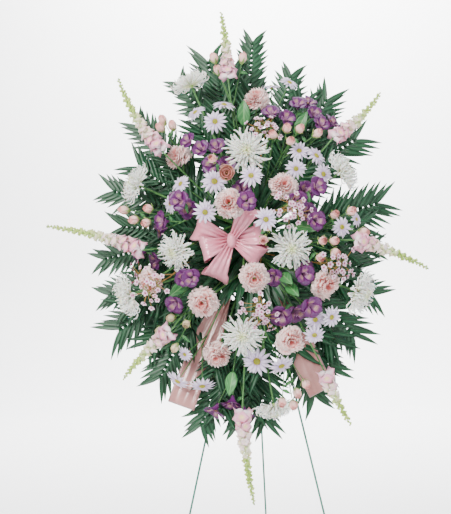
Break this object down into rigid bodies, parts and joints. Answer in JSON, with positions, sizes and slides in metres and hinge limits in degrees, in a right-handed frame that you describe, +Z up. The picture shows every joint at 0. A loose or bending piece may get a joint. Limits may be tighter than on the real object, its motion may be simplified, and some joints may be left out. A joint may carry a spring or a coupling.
{
  "type": "standing funeral arrangement",
  "caption": "Oval spray of cut flowers and palm fronds with a satin bow, set in a caged foam block that hangs on a leaning folding wire easel",
  "frame": {"origin": "centre of the footprint of the whole object at floor level", "axes": "+Z up; the flowers and the bow face -Y; the rear leg stands toward +Y; +X is to the right as seen from the front"},
  "size_m": [0.9442, 0.6936, 1.7241],
  "materials": {
    "easel_wire": "satin",
    "cage_plastic": "satin",
    "floral_foam": "matte",
    "ribbon_satin": "satin",
    "palm_leaf": "satin",
    "snapdragon_petal": "matte",
    "mum_petal": "matte",
    "carnation_petal": "matte",
    "daisy_petal": "matte",
    "alstroemeria_petal": "matte",
    "rose_petal": "matte",
    "waxflower_petal": "matte"
  },
  "bodies": {
    "stand": {"easel_front_frame": "easel_wire", "foam_cage": "cage_plastic", "foam_block": "floral_foam", "ribbon_bow": "ribbon_satin", "ribbon_tail_left": "ribbon_satin", "ribbon_tail_right": "ribbon_satin", "alstroemeria_bottom": "alstroemeria_petal", "alstroemeria_left": "alstroemeria_petal", "alstroemeria_lower_left": "alstroemeria_petal", "alstroemeria_lower_right": "alstroemeria_petal", "alstroemeria_middle": "alstroemeria_petal", "alstroemeria_right": "alstroemeria_petal", "alstroemeria_top_right": "alstroemeria_petal", "alstroemeria_upper_left": "alstroemeria_petal", "carnations_left": "carnation_petal", "carnations_lower": "carnation_petal", "carnations_middle": "carnation_petal", "carnations_right": "carnation_petal", "carnations_top": "carnation_petal", "daisies_bottom": "daisy_petal", "daisies_far_right": "daisy_petal", "daisies_left": "daisy_petal", "daisies_lower_left": "daisy_petal", "daisies_lower_right": "daisy_petal", "daisies_middle": "daisy_petal", "daisies_right": "daisy_petal", "daisies_top_left": "daisy_petal", "daisies_top_right": "daisy_petal", "fronds_bottom": "palm_leaf", "fronds_left": "palm_leaf", "fronds_lower_left": "palm_leaf", "fronds_lower_right": "palm_leaf", "fronds_right": "palm_leaf", "fronds_top": "palm_leaf", "fronds_top_right": "palm_leaf", "mums_bottom": "mum_petal", "mums_left": "mum_petal", "mums_lower_left": "mum_petal", "mums_lower_right": "mum_petal", "mums_right": "mum_petal", "mums_top": "mum_petal", "roses_bottom": "rose_petal", "roses_left": "rose_petal", "roses_lower_left": "rose_petal", "roses_right": "rose_petal", "roses_top": "rose_petal", "roses_upper": "rose_petal", "snapdragon_bottom": "snapdragon_petal", "snapdragon_left": "snapdragon_petal", "snapdragon_lower_left": "snapdragon_petal", "snapdragon_lower_right": "snapdragon_petal", "snapdragon_right": "snapdragon_petal", "snapdragon_top": "snapdragon_petal", "snapdragon_upper_left": "snapdragon_petal", "snapdragon_upper_right": "snapdragon_petal", "waxflower_left": "waxflower_petal", "waxflower_right": "waxflower_petal", "waxflower_upper": "waxflower_petal"},
    "rear_leg": {"easel_rear_leg": "easel_wire"}
  },
  "joints": [
    {"name": "rear_leg_fold", "type": "hinge", "parent": "stand", "child": "rear_leg", "pos_m": [0.04005, -0.03707, 1.07899], "axis": [-1, 0, 0], "range_deg": [0, 31.1]}
  ]
}
